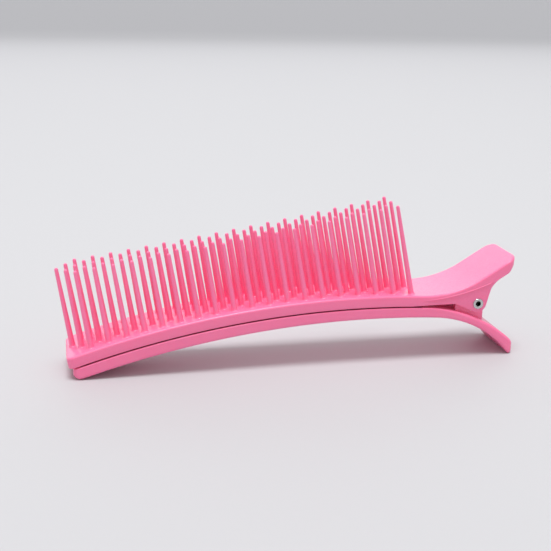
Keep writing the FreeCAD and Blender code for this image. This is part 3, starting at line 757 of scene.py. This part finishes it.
class CLIP_OT_comb(bpy.types.Operator):
    """Sets the five rows of pins on the upper arm"""

    bl_idname = "clip.comb"
    bl_label = "Comb of Pins"

    def rows(self, column):
        """Rows with a pin in this column: one at the nose, then two and three by turns."""
        if column == 0:
            return (MIDDLE_ROW,)
        return ROWS[1::2] if column % 2 else ROWS[0::2]

    def columns(self, arms, comb):
        """Foot, way and length of the pin in every column.

        The columns stand at even steps square to the draw, and their tips lie on
        a line that dips in the middle: sag * 4 t (1 - t). Each pin then turns
        about its waist, so that the comb fans out towards the hinge with t^2.
        """
        up, square = way(math.pi / 2 + comb.lean), way(comb.lean)
        radius = SEAM_RADIUS + arms.depth
        share = np.linspace(0.0, 1.0, comb.columns)
        first, last = SEAM_NOSE @ square + comb.first_pin, HINGE @ square - comb.last_pin
        place_across = first + (last - first) * share
        middle = SEAM_CENTRE @ square
        level = SEAM_CENTRE @ up + np.sqrt(radius ** 2 - (place_across - middle) ** 2)
        tips = np.linspace(level[0] + comb.first_length, level[-1] + comb.last_length,
                           comb.columns)
        reach = tips - comb.sag * 4 * share * (1 - share) - level
        waist = place_across[:, None] * square + (level + comb.waist * reach)[:, None] * up
        lean = comb.lean_nose + (comb.lean_last - comb.lean_nose) * share ** 2
        ways = way(math.pi / 2 + lean)
        down = -to_circle(waist, ways, SEAM_CENTRE, radius)
        feet = waist - down[:, None] * ways
        return feet, ways, down + (1 - comb.waist) * reach

    def pin(self, comb):
        """Radius and height of a pin's profile: its foot, and its tip as if without length.

        A short fillet at the foot, a straight taper, and a half-round tip.
        """
        root, tip = comb.root, comb.tip
        foot = [(root + share * comb.foot, height) for share, height in FOOT_RINGS]
        end = [(tip * math.cos(a), -tip + tip * math.sin(a)) for a in quarter(5)[:-1]]
        end.append((tip * TIP_FLAT, -TIP_FLAT_DEPTH))
        return np.array(foot), np.array(end)

    def execute(self, context):
        arms, comb = clip().arms, clip().comb
        feet, ways, lengths = self.columns(arms, comb)
        foot_part, tip_part = self.pin(comb)
        turns = circle(12)
        for row in ROWS:
            y = (row - MIDDLE_ROW) * comb.row_pitch
            skin = Skin()
            for number, (foot, up, reach) in enumerate(zip(feet, ways, lengths)):
                if row not in self.rows(number):
                    continue
                square = np.array([up[1], -up[0]])
                profile = np.vstack([foot_part, tip_part + [0.0, reach]])
                radius, height = profile[:, :1], profile[:, 1:]
                flat = (foot + (radius * np.cos(turns))[..., None] * square
                        + height[..., None] * up)
                skin.tube(xyz(flat[..., 0], y + radius * np.sin(turns), flat[..., 1]))
            node = "pin_row_%d" % row
            place_moulding("comb_" + node, skin.mesh("comb_" + node), "upper_arm", node)
        return {"FINISHED"}


CHANNEL_SETBACK = 0.6 * MM  # wall of the nose beyond that of the sides
CHANNEL_RIM = 0.12 * MM  # width of the slope at the channel's edge
BLUNT_ENDS = 6.0 * MM  # length over which both ends turn upright
TAIL_EDGE_X = TAIL_TOP_X + 3.0 * MM  # start of the tail's softer edge
TAIL_EDGE_LENGTH = 12.0 * MM  # it is full after this
NOSE_EDGE_LENGTH = 4.0 * MM  # of the softer edge under the nose
STEEPEST = 0.9  # limit of a normal's lean, as a sine
RAIL_OVERLAP = 0.2 * MM  # the rail runs into both ends of the channel
RAIL_DROP = 0.4 * MM  # tips of the teeth under the jaw's top
RAIL_TOOTH = 0.9 * MM  # height of the teeth
RAIL_BEVEL = 0.25 * MM
CHEEK_FRONT = np.array([-6.9, -0.3]) * MM  # front corner of the inner cheek's web
WEB_DEPTH = 1.2 * MM  # the web stands this deep in the tail
CHEEK_PLAY = 0.2 * MM  # between an inner cheek and the upper arm's wall
CHEEK_EDGE = 0.25 * MM
BORE_PLAY = 0.05 * MM


class CLIP_OT_lower_arm(bpy.types.Operator):
    """Moulds the lower arm: jaw channel, tail, toothed rail and inner cheeks"""

    bl_idname = "clip.lower_arm"
    bl_label = "Lower Arm"

    def channel_front(self, arms):
        """Front end of the channel along X."""
        return LOWER_NOSE_X + arms.wall + CHANNEL_SETBACK

    def face(self, x, join, front, tail):
        """Height and lean of two circles, given as centre and radius, that meet at the join."""
        on_tail = x > join
        z = np.where(on_tail, over(*tail, x), over(*front, x))
        lean = np.where(on_tail, (x - tail[0][0]) / tail[1], (x - front[0][0]) / front[1])
        return z, lean

    def top(self, x):
        """Height and upward normal of the top: seam circle, then the tail's circle."""
        z, lean = self.face(x, TAIL_TOP_X, (SEAM_CENTRE, JAW_RADIUS),
                            (TAIL_TOP_CENTRE, TAIL_TOP_RADIUS))
        return z, self.upright_at_ends(x, lean)

    def bottom(self, x):
        """Height and upward normal of the underside, flat where it meets the ground."""
        z, lean = self.face(x, TAIL_UNDER_X, (BELLY_CENTRE, BELLY_RADIUS),
                            (TAIL_UNDER_CENTRE, TAIL_UNDER_RADIUS))
        return np.maximum(z, 0.0), self.upright_at_ends(x, np.clip(lean, -STEEPEST, STEEPEST))

    def upright_at_ends(self, x, lean):
        """Normals (sin, cos) whose lean fades out towards the blunt ends of the arm."""
        held = lean * ease(np.minimum(x - LOWER_NOSE_X, TAIL_X - x) / BLUNT_ENDS)
        return pair(held, np.sqrt(1 - held ** 2))

    def edges(self, arms, x):
        """Rounding of the top and of the underside: softer on the tail and under the nose."""
        tail = ease((x - TAIL_EDGE_X) / TAIL_EDGE_LENGTH)
        nose = ease((LOWER_NOSE_X + NOSE_EDGE_LENGTH - x) / NOSE_EDGE_LENGTH)
        top_edge = arms.small_edge + (arms.tail_edge - arms.small_edge) * tail
        return top_edge, arms.under_edge * (1 + nose)

    def ring(self, plan, face, inset, lift):
        """One level of the loop, lifted from the top or from the underside."""
        x, y = plan.loop(inset)
        z, normal = face(x)
        return xyz(x + lift * normal[..., 0], y, z + lift * normal[..., 1])

    def shell(self, arms):
        """Outer loop of rounded edges, closed above by a grid that dips into the channel."""
        corner, rim, inner = arms.nose_corner, CHANNEL_RIM, HALF_WIDTH - arms.wall
        front, rear = self.channel_front(arms), BEND_X
        stations = np.concatenate([
            [LOWER_NOSE_X + corner, front - rim, front, front + rim, front + 2 * rim],
            np.linspace(front, rear, 56)[1:-1],
            [rear - 2 * rim, rear - rim, rear, rear + rim],
            np.linspace(rear, TAIL_X - corner, 40)[1:]])
        slope_columns = [(inner + step * rim) / HALF_WIDTH for step in (2, 1, 0, -1)]
        columns = mirrored([1.0, 0.97, *slope_columns, 0.72, 0.45, 0.2])
        plan = Plan(stations, corner, corner, columns)

        top_edge, low_edge = self.edges(arms, plan.loop_s)
        upper = [self.ring(plan, self.top, inset, -depth)
                 for depth, inset in rounding(top_edge, 6)]
        lower = [self.ring(plan, self.bottom, inset, depth)
                 for depth, inset in rounding(low_edge, 6)[::-1]]
        side = [upper[-1] * (1 - share) + lower[0] * share for share in (0.1, 0.5, 0.9)]
        skin = Skin()
        skin.grid(np.array(upper + side + lower), wrap_columns=True)

        top_edge, low_edge = self.edges(arms, plan.along)
        x, y = plan.sheet(top_edge)
        z, bed = self.top(x)[0], over(BELLY_CENTRE, BELLY_RADIUS + arms.floor_plate, x)
        open_x = ease((x - front) / rim) * ease((rear - x) / rim)
        open_y = ease((inner + rim - abs(y)) / (2 * rim))
        skin.grid(xyz(x, y, z - (z - bed) * open_x * open_y))
        x, y = plan.sheet(low_edge)
        skin.grid(xyz(x, y, self.bottom(x)[0]))
        return skin.mesh("lower_arm_moulding")

    def rail(self, arms):
        """Toothed rail: a section with chamfered top edges, carried from tooth to tooth."""
        front = self.channel_front(arms)
        count = int((BEND_X - front) / arms.rail_pitch)
        x = np.linspace(front - RAIL_OVERLAP, BEND_X + RAIL_OVERLAP, 2 * count + 1)
        tip = JAW_RADIUS - RAIL_DROP - RAIL_TOOTH * (np.arange(len(x)) % 2 == 0)
        top = over(SEAM_CENTRE, tip, x)
        bed = over(BELLY_CENTRE, BELLY_RADIUS + arms.floor_plate / 2, x)
        half, bevel = arms.rail_width / 2, RAIL_BEVEL
        y = np.array([-half, -half, bevel - half, half - bevel, half, half])
        lift = np.array([0.0, 1.0, 1.0, 1.0, 1.0, 0.0])
        drop = np.array([0.0, bevel, 0.0, 0.0, bevel, 0.0])
        z = bed[:, None] + (top - bed)[:, None] * lift - drop
        return tube("toothed_rail", xyz(x[:, None], y, z))

    def cheek(self, arms, hinge, name, sign):
        """Flat cheek with rounded edges: a boss round the rivet on a web from the tail."""
        boss = arms.inner_radius
        front, rear = HINGE + CHEEK_FRONT, HINGE + np.array([boss, 0.0])
        gap = HINGE - front
        rise = math.atan2(gap[1], gap[0]) + math.asin(boss / math.hypot(*gap))
        front_foot, rear_foot = ((x, over(TAIL_TOP_CENTRE, TAIL_TOP_RADIUS - WEB_DEPTH, x))
                                 for x in (front[0], rear[0]))
        outline = np.concatenate([
            line(front_foot, front, 4)[:-1],
            line(front, HINGE + boss * way(rise + math.pi / 2), 8)[:-1],
            arc(HINGE, boss, rise + math.pi / 2, 0.0, 40)[:-1],
            line(rear, rear_foot, 8)[:-1],
            line(rear_foot, front_foot, 12)[:-1]])
        run = np.roll(outline, -1, axis=0) - np.roll(outline, 1, axis=0)
        outward = pair(-run[:, 1], run[:, 0]) / np.hypot(run[:, 0], run[:, 1])[:, None]
        outer = HALF_WIDTH - arms.wall - CHEEK_PLAY
        levels = [(inset, outer - depth) for depth, inset in rounding(CHEEK_EDGE, 4)]
        levels += [(inset, 2 * outer - arms.inner_cheek - y) for inset, y in levels[::-1]]
        rings = []
        for inset, y in levels:
            flat = outline - inset * outward
            rings.append(xyz(flat[:, 0], sign * y, flat[:, 1]))
        return cut_hole(tube(name, np.array(rings)), hinge.shank + BORE_PLAY)

    def execute(self, context):
        arms, hinge = clip().arms, clip().hinge
        pieces = {"lower_arm_moulding": self.shell(arms), "toothed_rail": self.rail(arms)}
        for name, sign in (("inner_cheek_left", 1), ("inner_cheek_right", -1)):
            pieces[name] = self.cheek(arms, hinge, name, sign)
        for name, mesh in pieces.items():
            place_moulding(name, mesh, "lower_arm", "lower_arm")
        return {"FINISHED"}


ROLL_FOOT = 0.08 * MM  # the rolled end bulges from this height over its seat
ROLL_POWER = 0.8  # below 1 makes its section fuller than an ellipse
FLANGE_UNDERCUT = 0.06 * MM
SEAT_FILLET = 0.02 * MM


class CLIP_OT_rivet(bpy.types.Operator):
    """Turns the tubular rivet with its rolled ends"""

    bl_idname = "clip.rivet"
    bl_label = "Rivet"

    def execute(self, context):
        hinge = clip().hinge
        seat = RIVET_END - hinge.flange_height
        middle = (hinge.bore + hinge.flange) / 2
        roll = (hinge.flange - hinge.bore) / 2
        angle = np.linspace(0.0, math.pi, 15)
        # the roll goes from the bore over to the flange's edge
        bulge = (hinge.flange_height - ROLL_FOOT) * np.sin(angle) ** ROLL_POWER
        one_end = pair(middle - roll * np.cos(angle), seat + ROLL_FOOT + bulge)
        under = np.array([[hinge.flange - FLANGE_UNDERCUT, seat],
                          [hinge.shank, seat - SEAT_FILLET],
                          [hinge.shank, seat * 0.5], [hinge.shank, 0.0]])
        half = np.concatenate([[[hinge.bore, seat * 0.5]], one_end, under])
        profile = np.concatenate([half, (half * [1, -1])[::-1][1:], [[hinge.bore, 0.0]]])
        turns = circle(64)
        radius, y = profile[:, :1], profile[:, 1:]
        skin = Skin()
        skin.grid(xyz(HINGE[0] + radius * np.cos(turns), y, HINGE[1] + radius * np.sin(turns)),
                  wrap_rows=True, wrap_columns=True)
        place("tubular_rivet", skin.mesh("tubular_rivet"), "upper_arm", "hinge_rivet",
              nickel_plate())
        return {"FINISHED"}


FULL_TURNS = 8  # of the coil, besides the part turn between its legs
SPARE_TURN = math.radians(12)  # of coil on the upper leg beyond what winds up
LEG_FIT = 0.985  # the upper leg's wire lies just inside the coil's
TURN_STEP = math.radians(6)


class CLIP_OT_spring(bpy.types.Operator):
    """Winds the torsion spring and its two legs"""

    bl_idname = "clip.spring"
    bl_label = "Torsion Spring"

    def wire(self, path, radius):
        """Rings of a round wire: circles square to the path, r (cos a side + sin a lift)."""
        tangent = np.gradient(path, axis=0)
        tangent /= np.linalg.norm(tangent, axis=1)[:, None]
        side = np.cross(tangent, [0.0, 1.0, 0.0])
        side /= np.linalg.norm(side, axis=1)[:, None]
        lift = np.cross(side, tangent)
        angle = circle(14)[None, :, None]
        return path[:, None] + radius * (np.cos(angle) * side[:, None]
                                         + np.sin(angle) * lift[:, None])

    def piece(self, name, body, angles, places, slope_of_leg, radius):
        """A helix round the rivet that runs out into a straight leg.

        The wire turns between two angles while it goes between two places across.
        """
        hinge = clip().hinge
        count = max(int(abs(angles[1] - angles[0]) / TURN_STEP), 2)
        angle = np.linspace(*angles, count)
        turns = xyz(HINGE[0] + hinge.coil * np.cos(angle), np.linspace(*places, count),
                    HINGE[1] + hinge.coil * np.sin(angle))
        run = way(slope_of_leg)
        steps = np.linspace(0.0, 1.0, 10)[1:, None]
        leg = turns[-1] + steps * hinge.leg * np.array([run[0], 0.0, run[1]])
        mesh = tube(name, self.wire(np.concatenate([turns, leg]), radius))
        place(name, mesh, body, "torsion_spring", spring_wire())

    def execute(self, context):
        hinge = clip().hinge
        first = hinge.upper_leg + math.pi / 2
        last = hinge.lower_leg - math.pi / 2 + FULL_TURNS * 2 * math.pi
        half = hinge.coil_width / 2
        self.piece("spring_coil", "lower_arm", (first, last), (half, -half),
                   hinge.lower_leg, hinge.wire)
        # the upper leg carries the stretch of coil that it winds up as the jaws open
        pitch = hinge.coil_width / (last - first)
        spare = OPENING + SPARE_TURN
        self.piece("spring_upper_leg", "upper_arm", (first + spare, first),
                   (half - spare * pitch, half), hinge.upper_leg, hinge.wire * LEG_FIT)
        return {"FINISHED"}


FLOOR_REACH, FLOOR_DROP = 12.0, 0.02 * MM  # half the floor's side; its drop under the ground
WORLD_STRENGTH = 0.66
SUN_STRENGTH, SUN_ANGLE, SUN_PLACE = 2.3, math.radians(24), (-0.05, -0.14, 1.0)
SOFTBOX_POWER, SOFTBOX_PLACE, SOFTBOX_SIZE = 5.5, (0.15, 1.5, 0.75), (2.4, 0.9)
CAMERA_PLACE = (-0.06834, -0.29224, 0.11386)
CAMERA_ANGLES = (-12.24, 73.77, 0.96)  # pan, tilt and roll in degrees
CAMERA_LENS, CAMERA_SENSOR = 65.69, 36.0  # in millimetres


class CLIP_OT_studio(bpy.types.Operator):
    """Sets the pale floor, the soft lights and the camera"""

    bl_idname = "clip.studio"
    bl_label = "Studio"

    def floor(self):
        """A level square floor, a hair under the ground."""
        reach = np.linspace(-FLOOR_REACH, FLOOR_REACH, 25)
        skin = Skin()
        skin.grid(xyz(reach, reach[:, None], -FLOOR_DROP))
        mesh = skin.mesh("studio_floor")
        mesh.materials.append(matt_paper())
        new_object("studio_floor", mesh)

    def light(self, name, kind, energy, place_at, **shape):
        """A light at a place, turned towards the clip's middle."""
        data = bpy.data.lights.new(name, kind)
        data.energy = energy
        for key, value in shape.items():
            setattr(data, key, value)
        lamp = new_object(name, data)
        lamp.rotation_mode = "QUATERNION"
        lamp.rotation_quaternion = (-Vector(place_at)).to_track_quat("-Z", "Y")
        lamp.location = place_at

    def camera(self):
        """A camera in front of the clip, looking down on it."""
        data = bpy.data.cameras.new("studio_camera")
        data.lens = CAMERA_LENS
        data.sensor_width = CAMERA_SENSOR
        data.clip_start = 0.01
        camera = new_object("studio_camera", data)
        turn = Matrix.Translation(CAMERA_PLACE)
        for angle, axis in zip(CAMERA_ANGLES, "ZXZ"):
            turn = turn @ Matrix.Rotation(math.radians(angle), 4, axis)
        camera.matrix_world = turn
        bpy.context.scene.camera = camera

    def execute(self, context):
        self.floor()
        world = bpy.data.worlds.new("studio_light")
        world.use_nodes = True
        sky = world.node_tree.nodes["Background"].inputs
        sky["Color"].default_value = (1.0, 1.0, 1.0, 1.0)
        sky["Strength"].default_value = WORLD_STRENGTH
        bpy.context.scene.world = world
        self.light("overhead_sun", "SUN", SUN_STRENGTH, SUN_PLACE, angle=SUN_ANGLE)
        self.light("rear_softbox", "AREA", SOFTBOX_POWER, SOFTBOX_PLACE, shape="RECTANGLE",
                   size=SOFTBOX_SIZE[0], size_y=SOFTBOX_SIZE[1])
        bpy.context.scene.view_settings.view_transform = "Standard"
        self.camera()
        return {"FINISHED"}


class CLIP_PT_sidebar(bpy.types.Panel):
    """Lists the settings and the pieces"""

    bl_label = "Comb Sectioning Clip"
    bl_idname = "CLIP_PT_sidebar"
    bl_space_type = "VIEW_3D"
    bl_region_type = "UI"
    bl_category = "Clip"

    def draw(self, context):
        settings = context.scene.comb_clip
        for group in (settings.arms, settings.comb, settings.hinge, settings.looks):
            box = self.layout.box()
            for name in group.__annotations__:
                box.prop(group, name)
        for operator in OPERATORS:
            self.layout.operator(operator.bl_idname)


GROUPS = (ArmSettings, CombSettings, HingeSettings, LookSettings, ClipSettings)
OPERATORS = (CLIP_OT_studio, CLIP_OT_lower_arm, CLIP_OT_upper_arm, CLIP_OT_comb, CLIP_OT_rivet,
             CLIP_OT_spring)
CLASSES = GROUPS + OPERATORS + (CLIP_PT_sidebar,)


def register():
    """Registers the settings, the operators and the panel."""
    for item in CLASSES:
        bpy.utils.register_class(item)
    bpy.types.Scene.comb_clip = PointerProperty(type=ClipSettings)


def unregister():
    """Removes what register() added."""
    del bpy.types.Scene.comb_clip
    for item in reversed(CLASSES):
        bpy.utils.unregister_class(item)


def main():
    """Builds every piece in order."""
    register()
    bpy.ops.clip.studio()
    bpy.ops.clip.lower_arm()
    bpy.ops.clip.upper_arm()
    bpy.ops.clip.comb()
    bpy.ops.clip.rivet()
    bpy.ops.clip.spring()


if __name__ == "__main__":
    main()
